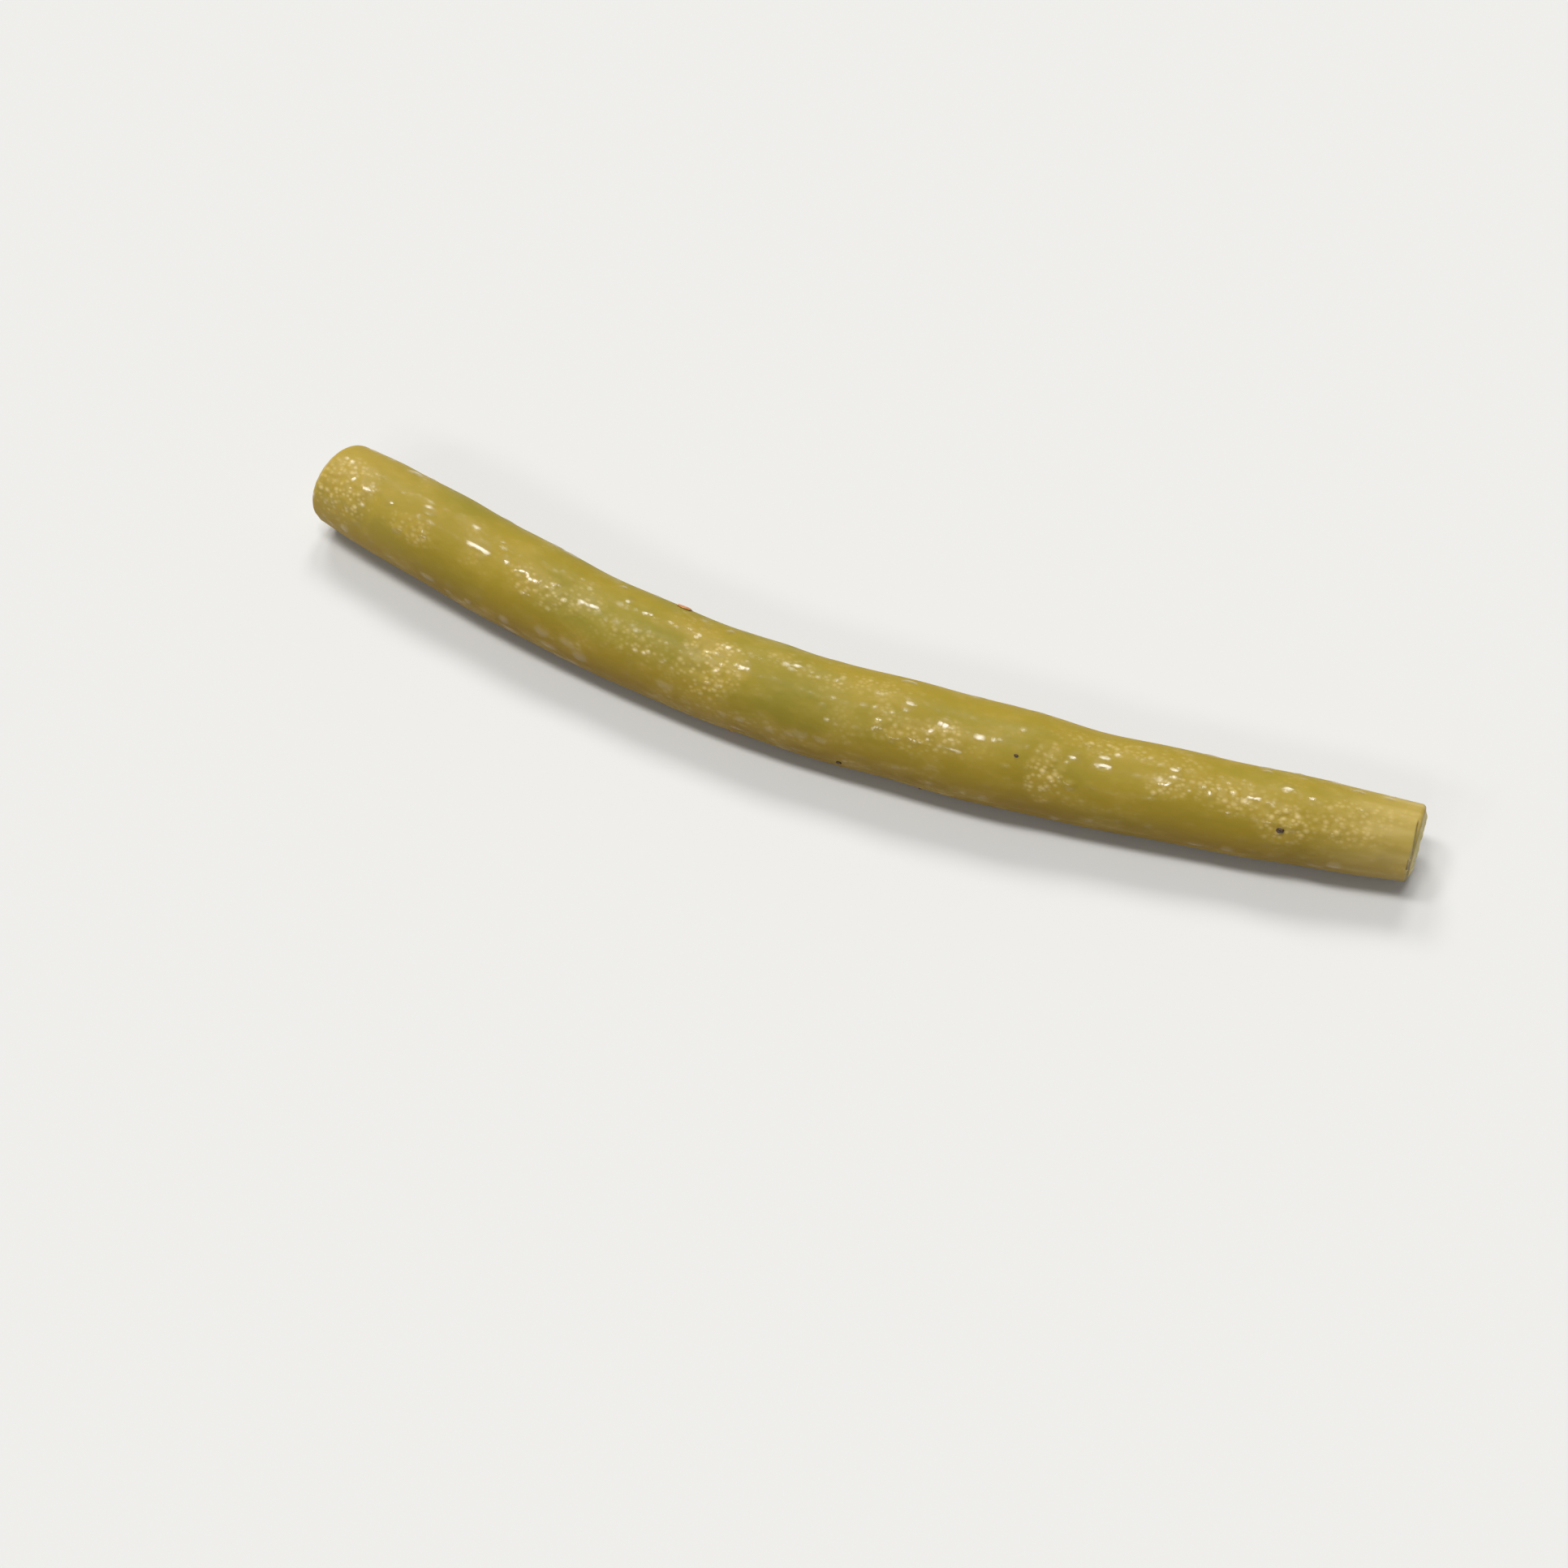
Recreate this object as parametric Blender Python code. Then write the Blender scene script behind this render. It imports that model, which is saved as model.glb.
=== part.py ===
"""A cooked green bean, topped and tailed, lying on its side on a flat surface.

The pod is one solid. Units are metres, +Z is up, and +X runs from the stem end to the
tip end. The origin is on the surface that the bean lies on, under the middle of its box.
"""

import math

import bmesh
import bpy
from mathutils import Vector

# Driving dimensions, in metres. Each pair is a share of the length and the value there.
LENGTH = 0.1115
BOW = (
    (0.00, 0.0014),
    (0.04, 0.0004),
    (0.10, -0.0011),
    (0.26, -0.0046),
    (0.42, -0.0064),
    (0.57, -0.0060),
    (0.71, -0.0048),
    (0.85, -0.0026),
    (1.00, 0.0000),
)
GIRTH = (
    (0.00, 0.0086),
    (0.05, 0.0092),
    (0.18, 0.0095),
    (0.27, 0.0092),
    (0.50, 0.0095),
    (0.63, 0.0097),
    (0.75, 0.0089),
    (0.90, 0.0084),
    (1.00, 0.0073),
)
# Height of the underside before it is pressed flat: below 0 it rests, above 0 it clears.
UNDERSIDE = (
    (0.00, 0.0004),
    (0.10, -0.0001),
    (0.25, -0.0003),
    (0.75, -0.0003),
    (0.90, -0.0001),
    (1.00, 0.0004),
)

# The two seams lie opposite each other, along the inside and the outside of the bow.
# The pod is a little deeper across the seams. The turn is from straight up, in radians.
OUTER_SEAM = math.radians(108)
SEAM_DEPTH = 0.02

SEEDS = 8
FIRST_SEED = 0.0115
SEED_PITCH = 0.0128
SEED_SWELL = 0.0002

# The cut ends: how round each rim is, and the seed chamber's mouth in the thick wall.
STEM_RIM = 0.0013
TIP_RIM = 0.0004
RIM_STEPS = 3
WALL = 0.0018
MOUTH_SLIM = 0.42
MOUTH_DEPTH = 0.0012
MOUTH_TAPER = 0.6

AROUND = 28
STATIONS = 54

POD_COLOUR = (0.36, 0.29, 0.055, 1.0)
POD_ROUGHNESS = 0.32


def clear_scene():
    for obj in list(bpy.data.objects):
        bpy.data.objects.remove(obj)


def value_at(points, share):
    """Reads a smooth curve through the points, as a cubic between each two of them."""
    last = len(points) - 1
    slopes = []
    for i in range(len(points)):
        (x0, y0), (x1, y1) = points[max(i - 1, 0)], points[min(i + 1, last)]
        slopes.append((y1 - y0) / (x1 - x0))
    i = 0
    while i < last - 1 and share > points[i + 1][0]:
        i += 1
    (x0, y0), (x1, y1) = points[i], points[i + 1]
    span = x1 - x0
    t = (share - x0) / span
    start = (1 + 2 * t) * (1 - t) ** 2 * y0 + t * (1 - t) ** 2 * span * slopes[i]
    end = t**2 * (3 - 2 * t) * y1 + t**2 * (t - 1) * span * slopes[i + 1]
    return start + end


def seed_swell(along, angle):
    """How far the seeds push out the pod's two cheeks, which lie between the seams."""
    swell = 0.0
    for i in range(SEEDS):
        away = (along - FIRST_SEED - i * SEED_PITCH) / (SEED_PITCH / 2)
        if abs(away) < 1:
            swell += 0.5 + 0.5 * math.cos(math.pi * away)
    return SEED_SWELL * swell * math.sin(angle - OUTER_SEAM) ** 2


def radius_at(share, angle):
    """Distance from the pod's axis to its skin, at an angle from straight up."""
    oval = 1 + SEAM_DEPTH * math.cos(2 * (angle - OUTER_SEAM))
    return value_at(GIRTH, share) / 2 * oval + seed_swell(share * LENGTH, angle)


def axis_at(share):
    height = value_at(UNDERSIDE, share) + radius_at(share, math.pi)
    return Vector((share * LENGTH, value_at(BOW, share), height))


def side_at(share):
    """The level direction across the pod, towards the outside of the bow."""
    step = 0.01
    ahead, behind = min(share + step, 1.0), max(share - step, 0.0)
    along = Vector(((ahead - behind) * LENGTH, value_at(BOW, ahead) - value_at(BOW, behind), 0))
    return along.normalized().cross(Vector((0, 0, 1)))


def skin_point(share, angle):
    out = side_at(share) * math.sin(angle) + Vector((0, 0, math.cos(angle)))
    return axis_at(share) + out * radius_at(share, angle)


def draw_out_tube(bm):
    """A straight tube of unit radius and length, then each of its points set on the skin."""
    ring = bmesh.ops.create_circle(bm, segments=AROUND, radius=1.0)["verts"]
    edges = {edge for vert in ring for edge in vert.link_edges}
    bmesh.ops.spin(
        bm,
        geom=ring + list(edges),
        axis=(0, 0, 1),
        dvec=(0, 0, 1 / STATIONS),
        angle=0.0,
        steps=STATIONS,
    )
    for vert in bm.verts:
        vert.co = skin_point(vert.co.z, math.atan2(vert.co.y, vert.co.x))


def open_rim(bm, past):
    """The ring of open edges on one side of the pod's middle: -1 is the stem end, 1 the tip."""
    rims = [edge for edge in bm.edges if edge.is_boundary]
    return [edge for edge in rims if past * (edge.verts[0].co.x - LENGTH / 2) > 0]


def round_rim(bm, cap, outward, radius):
    """Steps the cap out and in along a quarter circle."""
    for i in range(RIM_STEPS):
        before = math.pi / 2 * i / RIM_STEPS
        after = math.pi / 2 * (i + 1) / RIM_STEPS
        inward = radius * (math.cos(before) - math.cos(after))
        bmesh.ops.inset_region(bm, faces=[cap], thickness=inward)
        rise = radius * (math.sin(after) - math.sin(before))
        bmesh.ops.translate(bm, verts=cap.verts, vec=outward * rise)


def sink_mouth(bm, cap, outward):
    """Sinks the seed chamber's mouth, a narrow oval that is long from seam to seam."""
    bmesh.ops.inset_region(bm, faces=[cap], thickness=WALL)
    centre = cap.calc_center_median()
    seam = Vector((0, -math.sin(OUTER_SEAM), math.cos(OUTER_SEAM)))
    for vert in cap.verts:
        off = vert.co - centre
        lengthwise = seam * off.dot(seam)
        vert.co = centre + lengthwise + (off - lengthwise) * MOUTH_SLIM
    floor = bmesh.ops.extrude_discrete_faces(bm, faces=[cap])["faces"][0]
    for vert in floor.verts:
        vert.co = centre + (vert.co - centre) * MOUTH_TAPER - outward * MOUTH_DEPTH


def cut_end(bm, past, rim_round):
    """Closes one end with a flat cut that has a rounded rim and the chamber's mouth."""
    cap = bmesh.ops.edgeloop_fill(bm, edges=open_rim(bm, past))["faces"][0]
    cap.normal_update()
    if cap.normal.x * past < 0:
        cap.normal_flip()
    outward = cap.normal.copy()
    round_rim(bm, cap, outward, rim_round)
    sink_mouth(bm, cap, outward)


def press_flat(bm):
    """The soft pod flattens where its underside would go below the surface."""
    for vert in bm.verts:
        vert.co.z = max(vert.co.z, 0.0)


def centre_on_origin(bm):
    xs = [vert.co.x for vert in bm.verts]
    ys = [vert.co.y for vert in bm.verts]
    middle = Vector(((min(xs) + max(xs)) / 2, (min(ys) + max(ys)) / 2, 0))
    bmesh.ops.translate(bm, verts=bm.verts, vec=-middle)


def pod_material():
    material = bpy.data.materials.new("pod_skin")
    material.use_nodes = True
    shader = material.node_tree.nodes["Principled BSDF"]
    shader.inputs["Base Color"].default_value = POD_COLOUR
    shader.inputs["Roughness"].default_value = POD_ROUGHNESS
    shader.inputs["Metallic"].default_value = 0.0
    return material


def make_pod():
    bm = bmesh.new()
    draw_out_tube(bm)
    cut_end(bm, -1, STEM_RIM)
    cut_end(bm, 1, TIP_RIM)
    press_flat(bm)
    centre_on_origin(bm)
    bmesh.ops.recalc_face_normals(bm, faces=bm.faces)
    mesh = bpy.data.meshes.new("bean_pod")
    bm.to_mesh(mesh)
    bm.free()
    mesh.shade_smooth()
    mesh.set_sharp_from_angle(angle=math.radians(40))
    mesh.materials.append(pod_material())
    pod = bpy.data.objects.new("bean_pod", mesh)
    bpy.context.scene.collection.objects.link(pod)


clear_scene()
make_pod()
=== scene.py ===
import math
import random

import bmesh
import bpy
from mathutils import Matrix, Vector, noise


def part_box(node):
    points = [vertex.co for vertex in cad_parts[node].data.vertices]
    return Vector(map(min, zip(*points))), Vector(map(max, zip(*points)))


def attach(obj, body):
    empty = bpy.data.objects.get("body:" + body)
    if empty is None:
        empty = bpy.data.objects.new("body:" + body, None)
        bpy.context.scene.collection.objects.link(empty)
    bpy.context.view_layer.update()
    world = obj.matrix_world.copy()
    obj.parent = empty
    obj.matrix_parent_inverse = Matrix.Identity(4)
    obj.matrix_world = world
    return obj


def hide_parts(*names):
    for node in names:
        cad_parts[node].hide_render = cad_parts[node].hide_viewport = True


# A cooked green bean, topped and tailed, with a few flecks of seasoning stuck to its wet skin.
# Lengths are in metres. A turn is the angle round the pod, from straight up towards the outside
# of its bow. In the lists of spots on the skin, lengths are in millimetres and turns in degrees.

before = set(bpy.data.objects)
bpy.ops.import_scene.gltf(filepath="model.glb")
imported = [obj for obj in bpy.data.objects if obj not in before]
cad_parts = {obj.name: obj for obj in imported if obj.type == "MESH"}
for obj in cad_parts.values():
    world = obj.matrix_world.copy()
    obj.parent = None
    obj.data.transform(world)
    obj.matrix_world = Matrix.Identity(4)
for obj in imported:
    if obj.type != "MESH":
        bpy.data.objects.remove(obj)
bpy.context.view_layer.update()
podLow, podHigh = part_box("bean_pod")
mm = 0.001
print("frame loaded, the pod is", [round(size / mm, 1) for size in podHigh - podLow], "mm")


def smoothStep(low, high, x):
    t = min(max((x - low) / (high - low), 0.0), 1.0)
    return t * t * (3 - 2 * t)


def curveValue(points, share):
    # a smooth curve through (share, value) pairs, the one that the pod's solid is drawn with
    last = len(points) - 1
    slopes = []
    for i in range(len(points)):
        (x0, y0), (x1, y1) = points[max(i - 1, 0)], points[min(i + 1, last)]
        slopes.append((y1 - y0) / (x1 - x0))
    i = 0
    while i < last - 1 and share > points[i + 1][0]:
        i += 1
    (x0, y0), (x1, y1) = points[i], points[i + 1]
    span = x1 - x0
    t = (share - x0) / span
    start = (1 + 2 * t) * (1 - t) ** 2 * y0 + t * (1 - t) ** 2 * span * slopes[i]
    return start + t**2 * (3 - 2 * t) * y1 + t**2 * (t - 1) * span * slopes[i + 1]


def turnGap(a, b):
    # the angle from b round to a, the short way
    return (a - b + math.pi) % (2 * math.pi) - math.pi


# the pod as its solid has it, then how finely the skin and the two cuts are drawn
pod = {
    "length": 0.1115,
    "bow": (
        (0.00, 0.0014), (0.04, 0.0004), (0.10, -0.0011), (0.26, -0.0046), (0.42, -0.0064),
        (0.57, -0.0060), (0.71, -0.0048), (0.85, -0.0026), (1.00, 0.0000),
    ),
    "girth": (
        (0.00, 0.0086), (0.05, 0.0092), (0.18, 0.0095), (0.27, 0.0092), (0.50, 0.0095),
        (0.63, 0.0097), (0.75, 0.0089), (0.90, 0.0084), (1.00, 0.0073),
    ),
    "underside": (
        (0.00, 0.0004), (0.10, -0.0001), (0.25, -0.0003),
        (0.75, -0.0003), (0.90, -0.0001), (1.00, 0.0004),
    ),
    "outerSeam": 108,
    "seamDepth": 0.02,
    "seeds": 8,
    "firstSeed": 0.0115,
    "seedPitch": 0.0128,
    "seedSwell": 0.0002,
    "stemRim": 0.0013,
    "tipRim": 0.0005,
    "pressSoftness": 0.00006,
    "directionStep": 0.01,
    "around": 160,
    "skinRings": 552,
    "rimRings": 7,
    "cutRings": 18,
    "spans": 20,
}
outerSeam = math.radians(pod["outerSeam"])

# how uneven the skin is: the size and the height of each layer, from lumps down to pebbles
relief = {
    "lumpLength": 0.013, "lumpHeight": 0.00010, "lumpShift": (3.1, 0, 0),
    "smallLump": 0.4, "smallLumpShare": 0.5,
    "fluteLength": 0.0090, "fluteWidth": 0.0011, "fluteHeight": 0.00004,
    "flutedTip": (0.094, 0.111), "flutesElsewhere": 0.35,
    "pebblePitch": 0.00074, "pebbleHeight": 0.00010, "patchLength": 0.005, "patchFullAt": 0.55,
    "plainPebbles": 0.06, "patchPebbles": 0.5, "blisterPebbles": 1.5, "calmUnderWet": 0.8,
    "wrinkleLength": 0.0014, "wrinkleHeight": 0.00004, "wrinkleSharpness": 3,
    "seamWidth": 0.00055, "seamGroove": 0.00007, "seamShoulder": 0.55,
}

# how steeply each kind of spot falls off towards its edge: low is a plateau, high is a peak
falloff = {"blister": 0.6, "bead": 1.5, "dent": 1.5, "wet": 0.5}

# spots where the skin blistered: along, turn, half length, half width, strength
blisters = (
    (44.3, 28, 3.9, 3.4, 1.0), (64.6, 38, 3.0, 1.7, 0.9), (67.6, 28, 2.4, 1.9, 0.8),
    (61.6, 33, 1.6, 2.0, 0.7), (77.5, 42, 2.0, 3.4, 0.9), (26.0, 28, 4.4, 1.7, 0.8),
    (30.0, 17, 2.6, 1.6, 0.7), (36.0, 34, 5.0, 1.8, 0.5), (88.6, 24, 2.4, 1.5, 0.8),
    (94.6, 19, 4.6, 2.0, 0.7), (99.6, 45, 3.0, 2.2, 1.0), (105.2, 36, 3.8, 1.8, 0.8),
    (107.0, 8, 4.2, 1.4, 0.6), (2.4, 34, 3.8, 3.8, 1.0), (10.5, 40, 3.4, 1.6, 0.6),
    (57.0, -8, 9.0, 1.5, 0.4), (84.0, -12, 8.0, 1.4, 0.5), (16.0, 158, 5.0, 2.4, 0.4),
    (52.0, -122, 6.0, 2.6, 0.35), (84.0, 172, 5.0, 2.4, 0.4), (71.0, -75, 4.6, 2.0, 0.35),
    (31.0, -98, 5.0, 2.2, 0.35), (98.0, -104, 4.0, 2.2, 0.4), (60.0, 150, 7.0, 2.0, 0.35),
    (8.0, -80, 4.0, 2.2, 0.4), (42.0, 118, 5.0, 1.6, 0.4),
)

# wet beads that stand proud of the skin: along, turn, half length, half width, height
beads = (
    (-0.5, 17, 0.75, 0.65, 0.050), (1.9, 17, 1.20, 0.60, 0.045), (4.5, 27, 0.90, 0.55, 0.045),
    (9.5, 47, 0.75, 0.55, 0.150), (12.2, 39, 0.70, 0.55, 0.110), (11.6, 9, 1.00, 0.50, 0.035),
    (0.4, 40, 0.60, 0.55, 0.055), (1.7, 56, 0.60, 0.55, 0.065), (3.5, 54, 0.60, 0.50, 0.065),
    (2.7, 36, 0.60, 0.50, 0.050), (5.9, 18, 0.50, 0.50, 0.040), (7.4, 24, 0.55, 0.50, 0.045),
    (18.0, 15, 1.60, 0.80, 0.055), (21.0, 16, 0.70, 0.55, 0.040), (23.4, 19, 1.00, 0.70, 0.055),
    (24.7, 26, 0.90, 0.90, 0.080), (24.4, 40, 0.70, 0.60, 0.060), (30.6, 16, 1.20, 0.80, 0.070),
    (33.9, -12, 0.60, 0.55, 0.045), (47.5, 15, 0.70, 0.65, 0.045), (55.7, 33, 0.50, 0.50, 0.045),
    (61.3, 38, 0.60, 0.85, 0.075), (63.0, 48, 0.75, 0.55, 0.140), (65.0, 44, 0.80, 0.70, 0.090),
    (66.2, 34, 0.80, 0.70, 0.080), (67.4, 14, 0.70, 0.60, 0.045), (68.4, 38, 1.50, 0.80, 0.080),
    (63.6, 8, 0.80, 0.55, 0.040), (80.0, 12, 0.70, 0.65, 0.050), (82.5, 11, 0.95, 0.75, 0.060),
    (79.9, 48, 0.75, 0.55, 0.170), (89.2, 8, 0.80, 0.75, 0.060), (92.7, 26, 0.60, 0.55, 0.055),
    (88.4, 27, 0.70, 0.60, 0.070),
    (100.4, 47, 0.80, 0.55, 0.170), (98.4, 45, 0.60, 0.50, 0.140), (96.5, 17, 0.70, 0.55, 0.045),
    (99.4, -6, 0.65, 0.55, 0.045), (102.0, 9, 0.90, 0.50, 0.045), (104.4, 44, 0.65, 0.50, 0.110),
    (106.6, 7, 0.80, 0.50, 0.040), (36.4, -2, 0.60, 0.50, 0.040), (52.0, -8, 0.60, 0.45, 0.035),
)

# more beads, scattered over the back and low on the front: how many, and the ranges they lie in
scatter = {
    "seed": 7,
    "count": 90,
    "along": (1.0, 110.0),
    "turn": (-150, -26),
    "lowShare": 0.25,
    "lowTurn": (70, 130),
    "halfLong": (0.45, 1.1),
    "halfWide": (0.4, 0.75),
    "height": (0.04, 0.08),
}


def scatterBeads():
    draw = random.Random(scatter["seed"])
    found = []
    for _ in range(scatter["count"]):
        turns = scatter["lowTurn"] if draw.random() < scatter["lowShare"] else scatter["turn"]
        sizes = [scatter[name] for name in ("halfLong", "halfWide", "height")]
        found.append(tuple(draw.uniform(*given) for given in (scatter["along"], turns, *sizes)))
    return tuple(found)


beads += scatterBeads()

# soft dents: along, turn, half length, half width, depth
dents = (
    (5.4, 44, 1.2, 4.2, 0.20), (77.3, 60, 3.2, 6.0, 0.16), (101.5, 88, 2.4, 3.0, 0.12),
    (52.5, -70, 3.0, 4.0, 0.10), (20.5, -140, 2.2, 4.0, 0.10), (110.0, 70, 1.8, 1.6, 0.16),
)


def podSize(share):
    # the pod's mean radius there, and how far the nearest seed swells its cheeks
    swell = 0.0
    for i in range(pod["seeds"]):
        seed = pod["firstSeed"] + i * pod["seedPitch"]
        away = (share * pod["length"] - seed) / (pod["seedPitch"] / 2)
        if abs(away) < 1:
            swell += pod["seedSwell"] * (0.5 + 0.5 * math.cos(math.pi * away))
    return curveValue(pod["girth"], share) / 2, swell


def podRadius(size, turn):
    mean, swell = size
    oval = 1 + pod["seamDepth"] * math.cos(2 * (turn - outerSeam))
    return mean * oval + swell * math.sin(turn - outerSeam) ** 2


def spotsNear(spots, along):
    # the spots that reach this ring, each with its offset along squared, its turn in radians, its
    # half width in metres and its strength
    near = []
    for middle, turn, halfLong, halfWide, strength in spots:
        off = (along / mm - middle) / halfLong
        if abs(off) < 1:
            near.append((off * off, math.radians(turn), halfWide * mm, strength))
    return near


def spotHeight(near, turn, radius, sharpness):
    # the highest of the near spots there, each a dome that falls to nothing at its edge
    height = 0.0
    for offSquared, middle, halfWide, strength in near:
        away = turnGap(turn, middle) * radius / halfWide
        inside = 1 - offSquared - away * away
        if inside > 0:
            height = max(height, strength * inside**sharpness)
    return height


def makeRing(kind, share, step, past):
    # all that is the same round one ring: its middle, its directions and the spots that it meets
    ahead, behind = min(share + pod["directionStep"], 1.0), max(share - pod["directionStep"], 0.0)
    rise = curveValue(pod["bow"], ahead) - curveValue(pod["bow"], behind)
    way = Vector(((ahead - behind) * pod["length"], rise, 0)).normalized()
    size = podSize(share)
    height = curveValue(pod["underside"], share) + podRadius(size, math.pi)
    along = share * pod["length"]
    return {
        "kind": kind, "step": step, "past": past, "along": along, "way": way,
        "axis": Vector((along, curveValue(pod["bow"], share), height)),
        "side": way.cross(Vector((0, 0, 1))),
        "size": size,
        "rim": pod["stemRim"] if past < 0 else pod["tipRim"],
        "blisters": spotsNear(blisters, along),
        "beads": spotsNear(beads, along),
        "dents": spotsNear(dents, along),
    }


def podRings():
    # from the middle of the stem end's cut, along the skin, to the middle of the tip end's cut
    rimRings, cutRings, skinRings = pod["rimRings"], pod["cutRings"], pod["skinRings"]
    rings = [makeRing("cut", 0.0, i / cutRings, -1) for i in range(1, cutRings + 1)]
    rings += [makeRing("rim", 0.0, 1 - i / rimRings, -1) for i in range(1, rimRings)]
    rings += [makeRing("skin", i / skinRings, 1.0, 0) for i in range(skinRings + 1)]
    rings += [makeRing("rim", 1.0, i / rimRings, 1) for i in range(1, rimRings)]
    return rings + [makeRing("cut", 1.0, i / cutRings, 1) for i in range(cutRings, 0, -1)]


def skinRelief(ring, turn, radius, blister, calm):
    # how far the skin stands out from the plain pod there
    place = Vector((ring["along"], radius * math.sin(turn), radius * math.cos(turn)))
    lumps = noise.noise(place / relief["lumpLength"] + Vector(relief["lumpShift"]))
    smallLumps = noise.noise(place / (relief["lumpLength"] * relief["smallLump"]))
    lumps += relief["smallLumpShare"] * smallLumps
    fluteSize = Vector((relief["fluteLength"], relief["fluteWidth"], relief["fluteWidth"]))
    flutes = noise.noise(Vector([x / size for x, size in zip(place, fluteSize)]))
    nearTip = smoothStep(*relief["flutedTip"], ring["along"])
    nearest = noise.voronoi(place / relief["pebblePitch"])[0][0]
    wrinkles = abs(noise.noise(place / relief["wrinkleLength"]))
    wrinkles = 1 - relief["wrinkleSharpness"] * wrinkles
    patchNoise = noise.noise(place / relief["patchLength"])
    patches = smoothStep(0.0, relief["patchFullAt"], patchNoise)
    pebbly = relief["plainPebbles"] + relief["patchPebbles"] * patches
    pebbly += relief["blisterPebbles"] * blister
    groove = 0.0
    for seam in (outerSeam, outerSeam + math.pi):
        off = turnGap(turn, seam) * radius / relief["seamWidth"]
        groove += (1 - relief["seamShoulder"] * off * off) * math.exp(-off * off)
    return (
        relief["lumpHeight"] * lumps
        + relief["fluteHeight"] * flutes * (relief["flutesElsewhere"] + nearTip)
        + relief["pebbleHeight"] * (0.5 - nearest) * pebbly * calm
        + relief["wrinkleHeight"] * wrinkles * blister * calm
        - relief["seamGroove"] * groove
    )


def skinReach(ring, turn, radius):
    # the skin's distance from the axis, how blistered it is there, and how wet
    blister = spotHeight(ring["blisters"], turn, radius, falloff["blister"])
    bead = spotHeight(ring["beads"], turn, radius, falloff["bead"])
    dent = spotHeight(ring["dents"], turn, radius, falloff["dent"])
    plain = [(off, middle, wide, 1) for off, middle, wide, _ in ring["beads"]]
    wet = spotHeight(plain, turn, radius, falloff["wet"])
    rough = skinRelief(ring, turn, radius, blister, 1 - relief["calmUnderWet"] * wet)
    return radius + (bead - dent) * mm + rough, blister, wet


# the cut ends: a fleshy wall round the seed chamber, whose mouth is a lens from seam to seam
cut = {
    "mouthLong": 0.0021,
    "mouthWide": 0.0009,
    "mouthDepth": 0.0012,
    "lipHeight": 0.00012,
    "wallBulge": 0.00022,
    "roughLength": 0.0011,
    "roughHeight": 0.00014,
    "tipLean": 0.11,
    "stemLean": -0.05,
    "leanTurn": 75,
    "chamberEdge": (0.95, 0.65),
    "liningWidth": 0.16,
    "smoothEdge": 0.8,
}


def cutLean(ring, turn, reach):
    # the knife went a little aslant: the cut's side at the lean turn is drawn back
    lean = cut["tipLean"] if ring["past"] > 0 else cut["stemLean"]
    return -lean * reach * math.cos(turn - math.radians(cut["leanTurn"]))


def cutSurface(ring, turn, radius):
    # on a cut: the distance from the axis, the push outwards, how far it is inside the chamber's
    # mouth, and how near it is to the mouth's pale edge
    acrossSeam = math.sin(turn - outerSeam) / cut["mouthWide"]
    alongSeam = math.cos(turn - outerSeam) / cut["mouthLong"]
    mouth = 1 / math.hypot(alongSeam, acrossSeam)
    wall = radius - ring["rim"]
    if ring["step"] < 0.5:
        share = ring["step"] * 2
        reach = mouth * share
        inMouth = smoothStep(*cut["chamberEdge"], share)
        push = cut["lipHeight"] - cut["mouthDepth"] * (1 - smoothStep(0.5, 1.0, share))
    else:
        share = ring["step"] * 2 - 1
        reach = mouth + (wall - mouth) * share
        inMouth = 0.0
        push = cut["wallBulge"] * math.sin(math.pi * share) + cut["lipHeight"] * (1 - share) ** 2
    grain = reach / cut["roughLength"]
    rough = noise.noise(Vector((ring["past"], grain * math.sin(turn), grain * math.cos(turn))))
    push += ring["rim"] + cut["roughHeight"] * rough * smoothStep(1.0, cut["smoothEdge"], ring["step"])
    return reach, push, inMouth, smoothStep(cut["liningWidth"], 0.0, abs(ring["step"] - 0.5))


def placeVert(vert, ring, turn, layers):
    straight, blisterLayer, wetLayer, mouthLayer, liningLayer, fleshLayer = layers
    radius = podRadius(ring["size"], turn)
    push, blister, wet, inMouth, lining = 0.0, 0.0, 0.0, 0.0, 0.0
    if ring["kind"] == "cut":
        reach, push, inMouth, lining = cutSurface(ring, turn, radius)
        vert[fleshLayer] = 1.0
    else:
        reach, blister, wet = skinReach(ring, turn, radius)
    if ring["kind"] == "rim":
        bend = ring["step"] * math.pi / 2
        reach -= ring["rim"] * (1 - math.cos(bend))
        push = ring["rim"] * math.sin(bend)
    if ring["past"]:
        push += cutLean(ring, turn, reach)
    push *= ring["past"] or 1
    out = ring["side"] * math.sin(turn) + Vector((0, 0, math.cos(turn)))
    vert.co = ring["axis"] + out * reach + ring["way"] * push
    soft = pod["pressSoftness"]
    vert.co.z = (vert.co.z + math.hypot(vert.co.z, soft)) / 2  # the soft pod settles flat at 0
    vert[straight] = Vector((ring["along"] + push, reach * math.sin(turn), reach * math.cos(turn)))
    vert[blisterLayer] = blister
    vert[wetLayer] = wet
    vert[mouthLayer] = inMouth
    vert[liningLayer] = lining


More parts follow.
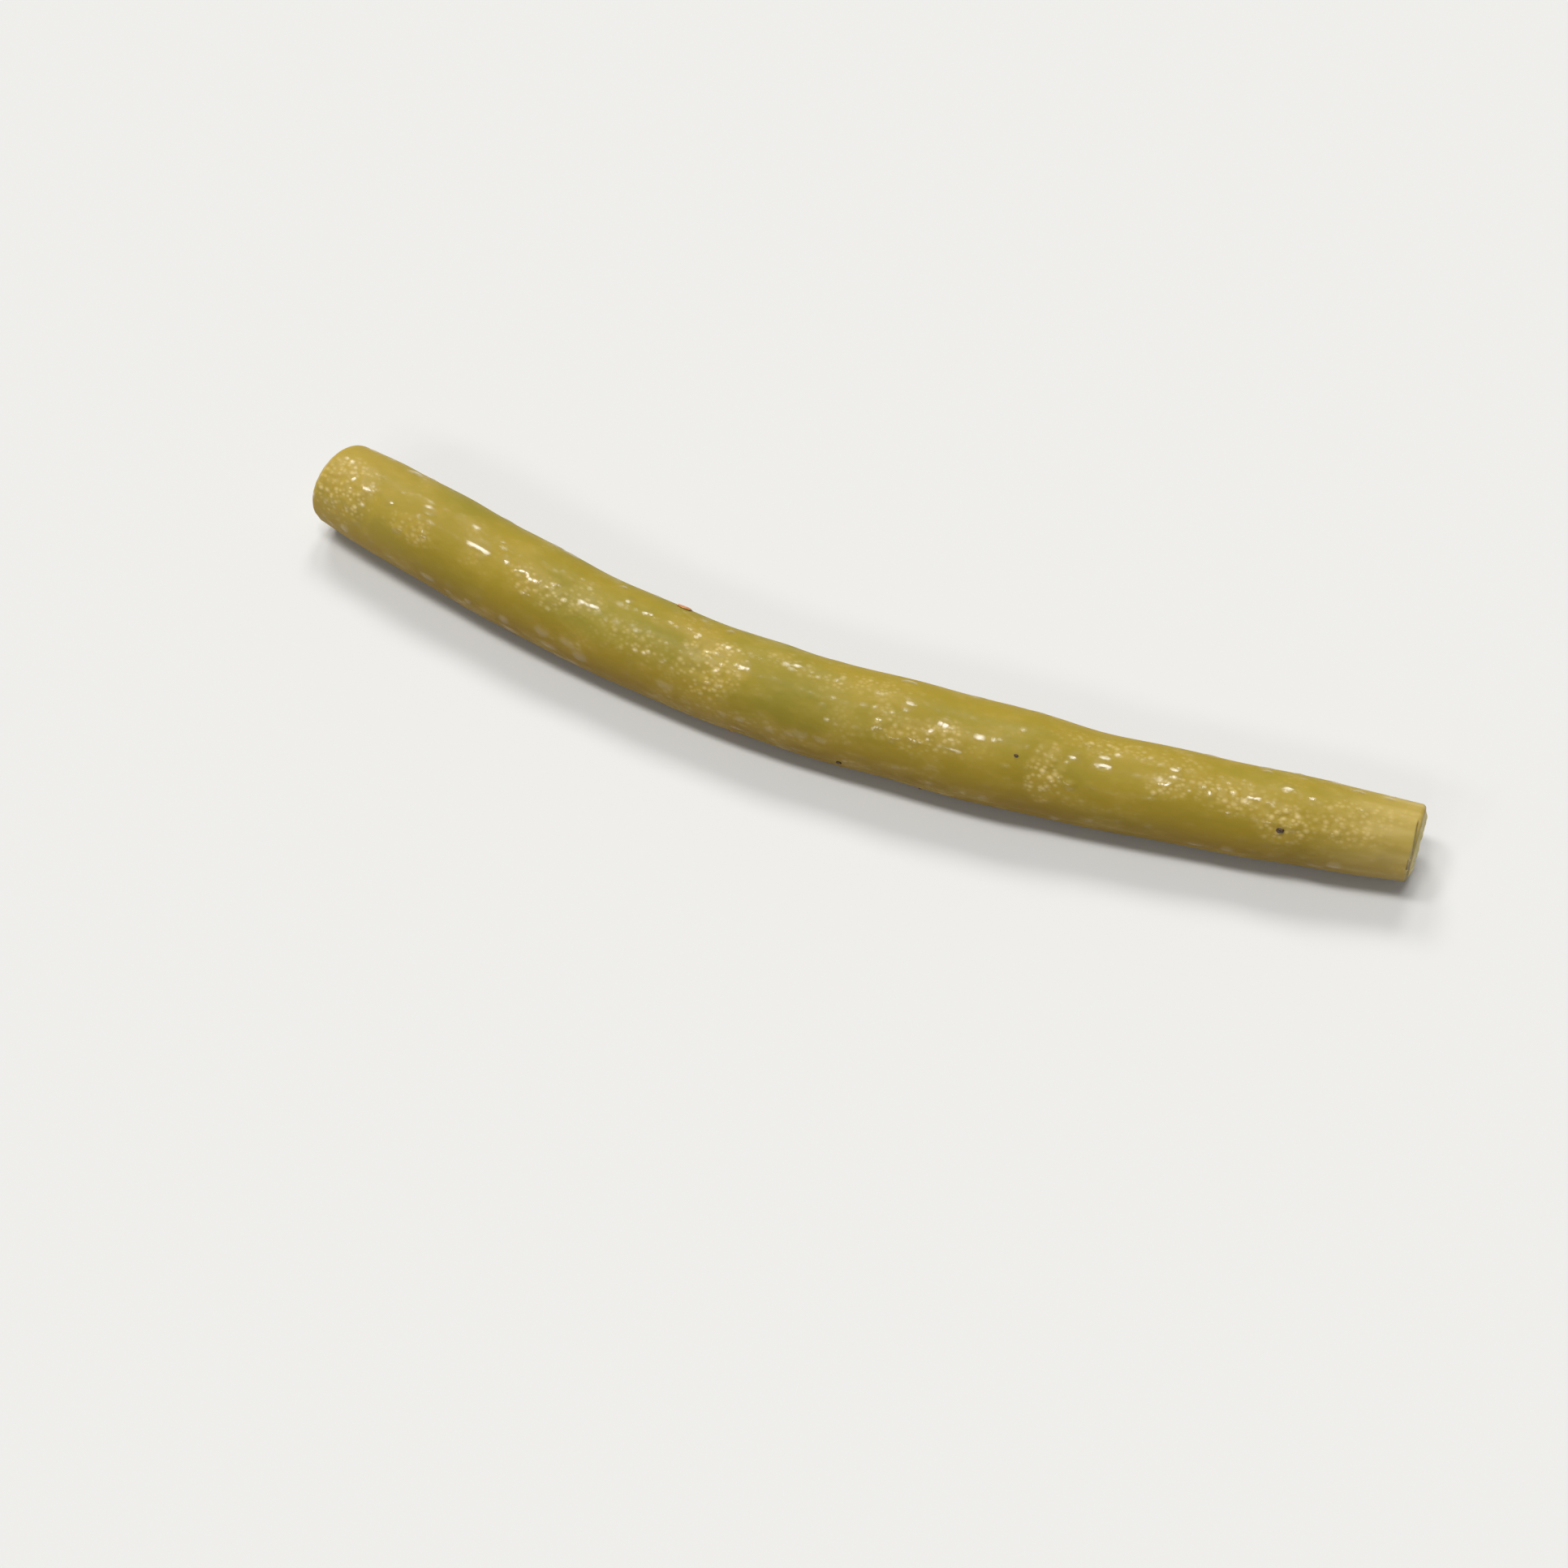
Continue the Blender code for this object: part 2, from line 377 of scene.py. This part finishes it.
def buildPod():
    rings = podRings()
    last = len(rings) - 1
    bm = bmesh.new()
    circle = bmesh.ops.create_circle(bm, segments=pod["around"], radius=1.0)["verts"]
    spans = pod["spans"]
    bmesh.ops.spin(
        bm, geom=circle + bm.edges[:], axis=(0, 0, 1), dvec=(0, 0, 1 / spans), angle=0.0, steps=spans
    )
    lengthwise = [edge for edge in bm.edges if edge.verts[0].co.z != edge.verts[1].co.z]
    bmesh.ops.subdivide_edges(bm, edges=lengthwise, cuts=last // spans - 1, use_grid_fill=True)
    floats = bm.verts.layers.float
    layers = [bm.verts.layers.float_vector.new("straightPlace")]
    layers += [floats.new(name) for name in ("blister", "wet", "mouth", "lining", "flesh")]
    for vert in bm.verts:
        turn = math.atan2(vert.co.y, vert.co.x)
        placeVert(vert, rings[round(vert.co.z * last)], turn, layers)
    closing = bmesh.ops.edgeloop_fill(bm, edges=[edge for edge in bm.edges if edge.is_boundary])
    bmesh.ops.poke(bm, faces=closing["faces"])
    bmesh.ops.recalc_face_normals(bm, faces=bm.faces)
    for face in bm.faces:
        face.smooth = True
        face.material_index = int(all(vert[layers[-1]] > 0.5 for vert in face.verts))
    return bm


def shiftToCad(bm):
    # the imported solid's box is centred on the frame's origin, so the pod's is brought there too
    xs, ys = [vert.co.x for vert in bm.verts], [vert.co.y for vert in bm.verts]
    target = (podLow + podHigh) / 2
    return Vector((target.x - (min(xs) + max(xs)) / 2, target.y - (min(ys) + max(ys)) / 2, 0))


def newMaterial(name):
    material = bpy.data.materials.new(name)
    material.use_nodes = True
    tree = material.node_tree
    return material, tree, tree.nodes["Principled BSDF"]


def connect(tree, value, socket):
    # joins an output to the socket, or sets the socket to a plain value
    if isinstance(value, bpy.types.NodeSocket):
        tree.links.new(value, socket)
    else:
        socket.default_value = value


def maths(tree, operation, first, second):
    made = tree.nodes.new("ShaderNodeMath")
    made.operation = operation
    connect(tree, first, made.inputs[0])
    connect(tree, second, made.inputs[1])
    return made.outputs[0]


def spread(tree, value, low, high, toLow=0.0, toHigh=1.0):
    made = tree.nodes.new("ShaderNodeMapRange")
    made.interpolation_type = "SMOOTHSTEP"
    given = {"Value": value, "From Min": low, "From Max": high, "To Min": toLow, "To Max": toHigh}
    for name, each in given.items():
        connect(tree, each, made.inputs[name])
    return made.outputs["Result"]


def mixColour(tree, mask, below, above):
    made = tree.nodes.new("ShaderNodeMix")
    made.data_type = "RGBA"
    connect(tree, mask, made.inputs["Factor"])
    connect(tree, below, made.inputs[6])
    connect(tree, above, made.inputs[7])
    return made.outputs[2]


def attributeOf(tree, name, output="Fac"):
    made = tree.nodes.new("ShaderNodeAttribute")
    made.attribute_name = name
    return made.outputs[output]


def patternPlace(tree, along, across, source=None):
    # coordinates in which the pattern's pitch, in metres along and across the pod, is 1
    mapping = tree.nodes.new("ShaderNodeMapping")
    mapping.inputs["Scale"].default_value = (1 / along, 1 / across, 1 / across)
    tree.links.new(source or attributeOf(tree, "straightPlace", "Vector"), mapping.inputs["Vector"])
    return mapping.outputs["Vector"]


def newGroup(name, inputs):
    # a node group with these number inputs after its vector, and a mask as its output
    group = bpy.data.node_groups.new(name, "ShaderNodeTree")
    group.interface.new_socket(name="Vector", in_out="INPUT", socket_type="NodeSocketVector")
    for socket in inputs:
        group.interface.new_socket(name=socket, in_out="INPUT", socket_type="NodeSocketFloat")
    group.interface.new_socket(name="Mask", in_out="OUTPUT", socket_type="NodeSocketFloat")
    return group, group.nodes.new("NodeGroupInput").outputs, group.nodes.new("NodeGroupOutput").inputs


def makeCloudGroup():
    # soft clouds: noise, spread from nothing at Low to full at High
    group, given, result = newGroup("clouds", ("Detail", "Low", "High"))
    grain = group.nodes.new("ShaderNodeTexNoise")
    grain.inputs["Scale"].default_value = 1.0
    group.links.new(given["Vector"], grain.inputs["Vector"])
    group.links.new(given["Detail"], grain.inputs["Detail"])
    group.links.new(spread(group, grain.outputs["Fac"], given["Low"], given["High"]), result["Mask"])
    return group


def makeDotGroup():
    # round dots, one to a cell: full in the middle and nothing past Size of the cell
    group, given, result = newGroup("dots", ("Size",))
    cells = group.nodes.new("ShaderNodeTexVoronoi")
    cells.inputs["Scale"].default_value = 1.0
    group.links.new(given["Vector"], cells.inputs["Vector"])
    group.links.new(spread(group, cells.outputs["Distance"], given["Size"], 0.0), result["Mask"])
    return group


cloudGroup, dotGroup = makeCloudGroup(), makeDotGroup()


def placeGroup(tree, group, vector, **values):
    made = tree.nodes.new("ShaderNodeGroup")
    made.node_tree = group
    tree.links.new(vector, made.inputs["Vector"])
    for name, value in values.items():
        made.inputs[name].default_value = value
    return made.outputs["Mask"]


def cloudsOf(tree, pattern, source=None):
    along, across, detail, low, high = pattern
    vector = patternPlace(tree, along, across, source)
    return placeGroup(tree, cloudGroup, vector, Detail=detail, Low=low, High=high)


def dotsOf(tree, pattern):
    along, across, size = pattern
    return placeGroup(tree, dotGroup, patternPlace(tree, along, across), Size=size)


def scaled(tree, value, share):
    return maths(tree, "MULTIPLY", value, share)


def addBump(tree, shader, height, distance):
    bump = tree.nodes.new("ShaderNodeBump")
    bump.inputs["Distance"].default_value = distance
    tree.links.new(height, bump.inputs["Height"])
    tree.links.new(bump.outputs["Normal"], shader.inputs["Normal"])


# Clouds are given as their pitch along and across, their detail, and where they start and are full.
# Dots are given as their pitch along and across, and their size as a share of it.
skinLook = {
    "olive": (0.298, 0.214, 0.011, 1),
    "green": (0.232, 0.195, 0.013, 1),
    "tan": (0.430, 0.300, 0.055, 1),
    "pale": (0.700, 0.540, 0.230, 1),
    # a darker brown, painted on the low side of the pod as shade
    "shadedLowBrown": (0.215, 0.120, 0.006, 1),
    "greenClouds": (0.016, 0.006, 3, 0.42, 0.70),
    "mottle": (0.0019, 0.0013, 3, 0.45, 0.75),
    "stripes": (0.010, 0.0014, 2, 0.40, 0.72),
    "patches": (0.0050, 0.0028, 2, 0.47, 0.66),
    "uneven": (0.0022, 0.0015, 2, 0.36, 0.62),
    "grain": (0.00060, 0.00035, 3, 0.25, 0.75),
    "dots": (0.00095, 0.00074, 0.48),
    "fineDots": (0.00062, 0.00046, 0.55),
    "bigDots": (0.0021, 0.0015, 0.36),
    "greenShare": 0.85,
    "mottleShare": 0.20,
    "shadedLowShare": 0.75,
    "stemShare": 0.40,
    "tipShare": 0.18,
    "stripeShare": 0.20,
    "pebblyShare": 0.35,
    "tipZone": (0.100, 0.1115),
    "stemZone": (0.016, 0.000),
    "shadedLowZone": (0.0042, -0.0012),
    "shinyZone": (-0.0030, 0.0012),
    "lowShine": 0.3,
    "patchShare": 0.5,
    "plainBump": 0.2,
    "plainDamp": 0.30,
    "blisterDots": 0.85,
    "patchDots": 0.20,
    "fineDotShare": 0.55,
    "roughness": (0.64, 0.46),
    "leastCoat": 0.02,
    "coatRoughness": 0.13,
    "bumpHeight": 0.000028,
    "grainBump": 0.20,
    "bumpUnderWet": 0.15,
    "soakedAt": 0.8,
}


def skinColour(tree, place, paleSpecksAndGlints, pebbly):
    greener = cloudsOf(tree, skinLook["greenClouds"])
    mottle = cloudsOf(tree, skinLook["mottle"])
    stripes = cloudsOf(tree, skinLook["stripes"])
    tipMask = spread(tree, place["X"], *skinLook["tipZone"])
    stemMask = spread(tree, place["X"], *skinLook["stemZone"])
    # painted shade: the skin turns browner and darker towards the underside
    shadedLowMask = spread(tree, place["Z"], *skinLook["shadedLowZone"])
    stripes = scaled(tree, stripes, skinLook["stripeShare"])
    tipTint = maths(tree, "MULTIPLY", tipMask, maths(tree, "ADD", stripes, skinLook["tipShare"]))
    # each layer is laid over the ones before it
    layers = (
        (scaled(tree, greener, skinLook["greenShare"]), "green"),
        (scaled(tree, mottle, skinLook["mottleShare"]), "tan"),
        # painted shade on the low side
        (scaled(tree, shadedLowMask, skinLook["shadedLowShare"]), "shadedLowBrown"),
        (scaled(tree, stemMask, skinLook["stemShare"]), "tan"),
        (tipTint, "pale"),
        (scaled(tree, pebbly, skinLook["pebblyShare"]), "tan"),
        # pale specks, partly the skin's own and partly painted glints
        (paleSpecksAndGlints, "pale"),
    )
    colour = skinLook["olive"]
    for mask, name in layers:
        colour = mixColour(tree, mask, colour, skinLook[name])
    return colour


def skinMaterial():
    material, tree, shader = newMaterial("podSkin")
    split = tree.nodes.new("ShaderNodeSeparateXYZ")
    tree.links.new(attributeOf(tree, "straightPlace", "Vector"), split.inputs[0])
    place = split.outputs
    blister = attributeOf(tree, "blister")
    wet = attributeOf(tree, "wet")
    patches = cloudsOf(tree, skinLook["patches"])
    dots = maths(tree, "MULTIPLY", dotsOf(tree, skinLook["dots"]), cloudsOf(tree, skinLook["uneven"]))
    bigDots = dotsOf(tree, skinLook["bigDots"])
    grain = cloudsOf(tree, skinLook["grain"])
    pebbly = maths(tree, "MAXIMUM", blister, scaled(tree, patches, skinLook["patchShare"]))
    bumpyDots = maths(tree, "MULTIPLY", dots, maths(tree, "ADD", pebbly, skinLook["plainBump"]))

    # pale dots, most of them on the blistered spots: partly the blistered skin's own pale specks,
    # partly painted glints
    blisterDots = scaled(tree, blister, skinLook["blisterDots"])
    paler = maths(tree, "ADD", blisterDots, scaled(tree, patches, skinLook["patchDots"]))
    fineDots = scaled(tree, dotsOf(tree, skinLook["fineDots"]), skinLook["fineDotShare"])
    paleSpecksAndGlints = maths(tree, "MULTIPLY", maths(tree, "MAXIMUM", dots, fineDots), paler)
    tree.links.new(skinColour(tree, place, paleSpecksAndGlints, pebbly), shader.inputs["Base Color"])

    # a wet coat on the dots and the beads, thinner low down
    dampPatches = maths(tree, "ADD", patches, skinLook["plainDamp"])
    dampDots = maths(tree, "MULTIPLY", bigDots, dampPatches)
    damp = maths(tree, "MAXIMUM", maths(tree, "MAXIMUM", bumpyDots, dampDots), wet)
    shine = spread(tree, place["Z"], *skinLook["shinyZone"], skinLook["lowShine"], 1.0)
    damp = maths(tree, "MULTIPLY", damp, shine)
    slick = maths(tree, "MAXIMUM", damp, pebbly)
    tree.links.new(spread(tree, slick, 0.0, 1.0, *skinLook["roughness"]), shader.inputs["Roughness"])
    tree.links.new(maths(tree, "ADD", damp, skinLook["leastCoat"]), shader.inputs["Coat Weight"])
    shader.inputs["Coat Roughness"].default_value = skinLook["coatRoughness"]
    shader.inputs["Coat IOR"].default_value = 1.5
    shader.inputs["Specular IOR Level"].default_value = 0.28
    shader.inputs["Subsurface Weight"].default_value = 0.3
    shader.inputs["Subsurface Radius"].default_value = (1.0, 0.7, 0.2)
    shader.inputs["Subsurface Scale"].default_value = 0.0012

    height = maths(tree, "ADD", bumpyDots, scaled(tree, grain, skinLook["grainBump"]))
    height = maths(tree, "ADD", height, bigDots)
    smoothed = spread(tree, wet, 0.0, skinLook["soakedAt"], 1.0, skinLook["bumpUnderWet"])
    addBump(tree, shader, maths(tree, "MULTIPLY", height, smoothed), skinLook["bumpHeight"])
    return material


fleshLook = {
    "wall": (0.52, 0.43, 0.14, 1),
    "fibre": (0.68, 0.58, 0.26, 1),
    "lining": (0.70, 0.62, 0.32, 1),
    "chamber": (0.12, 0.11, 0.015, 1),
    "fibres": (0.0007, 0.0007, 4, 0.42, 0.72),
    "fibreShare": 0.7,
    "cells": (0.0004, 0.0004, 0.7),
    "cellCoat": 0.4,
    "cellBump": 0.5,
    "bumpHeight": 0.00005,
}


def fleshMaterial():
    material, tree, shader = newMaterial("cutFlesh")
    fibres = cloudsOf(tree, fleshLook["fibres"])
    cells = dotsOf(tree, fleshLook["cells"])
    fibreMask = scaled(tree, fibres, fleshLook["fibreShare"])
    colour = mixColour(tree, fibreMask, fleshLook["wall"], fleshLook["fibre"])
    colour = mixColour(tree, attributeOf(tree, "lining"), colour, fleshLook["lining"])
    colour = mixColour(tree, attributeOf(tree, "mouth"), colour, fleshLook["chamber"])
    tree.links.new(colour, shader.inputs["Base Color"])
    shader.inputs["Roughness"].default_value = 0.55
    shader.inputs["Specular IOR Level"].default_value = 0.3
    tree.links.new(scaled(tree, cells, fleshLook["cellCoat"]), shader.inputs["Coat Weight"])
    shader.inputs["Coat Roughness"].default_value = 0.14
    shader.inputs["Subsurface Weight"].default_value = 0.4
    shader.inputs["Subsurface Radius"].default_value = (1.0, 0.8, 0.3)
    shader.inputs["Subsurface Scale"].default_value = 0.0014
    height = maths(tree, "ADD", scaled(tree, cells, fleshLook["cellBump"]), fibres)
    addBump(tree, shader, height, fleshLook["bumpHeight"])
    return material


def addPiece(name, bm, materials):
    mesh = bpy.data.meshes.new(name)
    bm.to_mesh(mesh)
    bm.free()
    for material in materials:
        mesh.materials.append(material)
    piece = bpy.data.objects.new(name, mesh)
    bpy.context.scene.collection.objects.link(piece)
    return piece


podMesh = buildPod()
podShift = shiftToCad(podMesh)
bmesh.ops.translate(podMesh, verts=podMesh.verts, vec=podShift)
podPiece = addPiece("pod", podMesh, (skinMaterial(), fleshMaterial()))
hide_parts("bean_pod")
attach(podPiece, "root")
print("pod made:", len(podPiece.data.polygons), "faces")


# the flecks' places: along, turn, and half the length, width and thickness. Sunk is the share of
# half the thickness that lies in the skin.
pepper = {
    "places": (
        (74.6, 31, 0.20, 0.14, 0.06), (99.4, 52, 0.34, 0.24, 0.16), (58.2, 104, 0.26, 0.18, 0.12),
        (33.0, -76, 0.30, 0.22, 0.14), (86.5, -118, 0.24, 0.20, 0.12), (66.0, 134, 0.20, 0.16, 0.10),
    ),
    "sunk": 0.35,
    "unevenness": 0.45,
    "colour": (0.030, 0.014, 0.006, 1),
    "fleck": (0.110, 0.055, 0.018, 1),
    "coat": 0.15,
}
chilli = {
    "places": ((38.6, -46, 0.75, 0.42, 0.11), (47.0, 140, 0.60, 0.45, 0.11)),
    "sunk": 0.1,
    "unevenness": 0.4,
    "colour": (0.46, 0.160, 0.028, 1),
    "fleck": (0.58, 0.300, 0.090, 1),
    "coat": 0.5,
}


# what the flecks share: how coarse and how fine their unevenness is, and their grain
fleckShape = {
    "subdivisions": 3,
    "coarse": 1.1,
    "fine": 3.1,
    "fineShare": 0.3,
    "grain": (0.00025, 0.00025, 3, 0.4, 0.7),
    "bumpHeight": 0.00004,
}


def buildFlecks(look):
    # each fleck is a small ball, flattened, made uneven and laid on the skin
    bm = bmesh.new()
    for along, degrees, halfLong, halfWide, halfThick in look["places"]:
        turn = math.radians(degrees)
        ring = makeRing("skin", along * mm / pod["length"], 1.0, 0)
        radius = podRadius(ring["size"], turn)
        out = ring["side"] * math.sin(turn) + Vector((0, 0, math.cos(turn)))
        middle = ring["axis"] + podShift
        middle += out * (skinReach(ring, turn, radius)[0] + halfThick * mm * (1 - look["sunk"]))
        across = out.cross(ring["way"])
        shift = Vector((along, 0, 0))  # so that no two flecks are alike
        fineness = fleckShape["subdivisions"]
        ball = bmesh.ops.create_icosphere(bm, subdivisions=fineness, radius=1.0)["verts"]
        for vert in ball:
            bumps = noise.noise(vert.co * fleckShape["coarse"] + shift)
            bumps += fleckShape["fineShare"] * noise.noise(vert.co * fleckShape["fine"] + shift)
            uneven = 1 + look["unevenness"] * bumps
            size = vert.co * uneven * mm
            vert.co = middle + ring["way"] * size.x * halfLong
            vert.co += across * size.y * halfWide + out * size.z * halfThick
    for face in bm.faces:
        face.smooth = True
    bmesh.ops.recalc_face_normals(bm, faces=bm.faces)
    return bm


def fleckMaterial(name, look):
    material, tree, shader = newMaterial(name)
    coordinates = tree.nodes.new("ShaderNodeTexCoord").outputs["Object"]
    grain = cloudsOf(tree, fleckShape["grain"], coordinates)
    tree.links.new(mixColour(tree, grain, look["colour"], look["fleck"]), shader.inputs["Base Color"])
    shader.inputs["Roughness"].default_value = 0.55
    shader.inputs["Coat Weight"].default_value = look["coat"]
    shader.inputs["Coat Roughness"].default_value = 0.15
    addBump(tree, shader, grain, fleckShape["bumpHeight"])
    return material


for name, look in (("pepperFlecks", pepper), ("chilliFlakes", chilli)):
    piece = addPiece(name, buildFlecks(look), [fleckMaterial(name + "Skin", look)])
    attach(piece, "root")
print("flecks made")


stage = {"floorSize": 6.0, "floorColour": (0.62, 0.615, 0.60, 1), "world": 0.20, "backdrop": 0.80}


def makeStage():
    bm = bmesh.new()
    bmesh.ops.create_grid(bm, x_segments=1, y_segments=1, size=stage["floorSize"] / 2)
    material, _, shader = newMaterial("paleFloor")
    shader.inputs["Base Color"].default_value = stage["floorColour"]
    shader.inputs["Roughness"].default_value = 0.9
    shader.inputs["Specular IOR Level"].default_value = 0.1
    addPiece("floor", bm, [material])
    world = bpy.data.worlds.new("studio")
    world.use_nodes = True
    tree = world.node_tree
    tree.nodes["Background"].inputs["Color"].default_value = (1, 1, 1, 1)
    seen = tree.nodes.new("ShaderNodeLightPath").outputs["Is Camera Ray"]
    strength = spread(tree, seen, 0.0, 1.0, stage["world"], stage["backdrop"])
    tree.links.new(strength, tree.nodes["Background"].inputs["Strength"])
    bpy.context.scene.world = world


def aimAt(obj, target):
    obj.rotation_euler = (target - obj.location).to_track_quat("-Z", "Y").to_euler()


# rows of soft lamps above the bean: how far the row leans from overhead towards the back, the lamps'
# places along the row, and each lamp's angular width and strength
lampRows = {
    "overhead": {"lean": -5, "along": (-27, -13, 2), "width": 12, "strength": 0.75},
    "back": {"lean": 37, "along": (-26, -6), "width": 16, "strength": 0.86},
    "front": {"lean": -53, "along": (-25, -12, 2), "width": 9, "strength": 0.17},
}


def makeLamps():
    for name, row in lampRows.items():
        lean = math.radians(row["lean"])
        for i, degrees in enumerate(row["along"]):
            data = bpy.data.lights.new(f"{name}Lamp{i}", "SUN")
            data.angle = math.radians(row["width"])
            data.energy = row["strength"]
            obj = bpy.data.objects.new(data.name, data)
            turn = math.radians(degrees)
            up = Vector((0, math.sin(lean), math.cos(lean)))
            obj.location = up * math.cos(turn) + Vector((math.sin(turn), 0, 0))
            aimAt(obj, Vector((0, 0, 0)))
            bpy.context.scene.collection.objects.link(obj)


camera = {
    "azimuth": 22.04,
    "elevation": 55,
    "lens": 70,
    "distance": 0.2877,
    "lookAt": (-0.00026, -0.01325, 0.0044),
    "clipStart": 0.01,
}


def makeCamera():
    data = bpy.data.cameras.new("camera")
    data.lens = camera["lens"]
    data.clip_start = camera["clipStart"]
    obj = bpy.data.objects.new("camera", data)
    turn, tilt = math.radians(camera["azimuth"]), math.radians(camera["elevation"])
    target = Vector(camera["lookAt"])
    back = Vector((math.sin(turn) * math.cos(tilt), -math.cos(turn) * math.cos(tilt), math.sin(tilt)))
    obj.location = target + back * camera["distance"]
    aimAt(obj, target)
    bpy.context.scene.collection.objects.link(obj)
    bpy.context.scene.camera = obj


makeStage()
makeLamps()
makeCamera()
bpy.context.scene.view_settings.view_transform = "Standard"
print("stage, lamps and camera set")
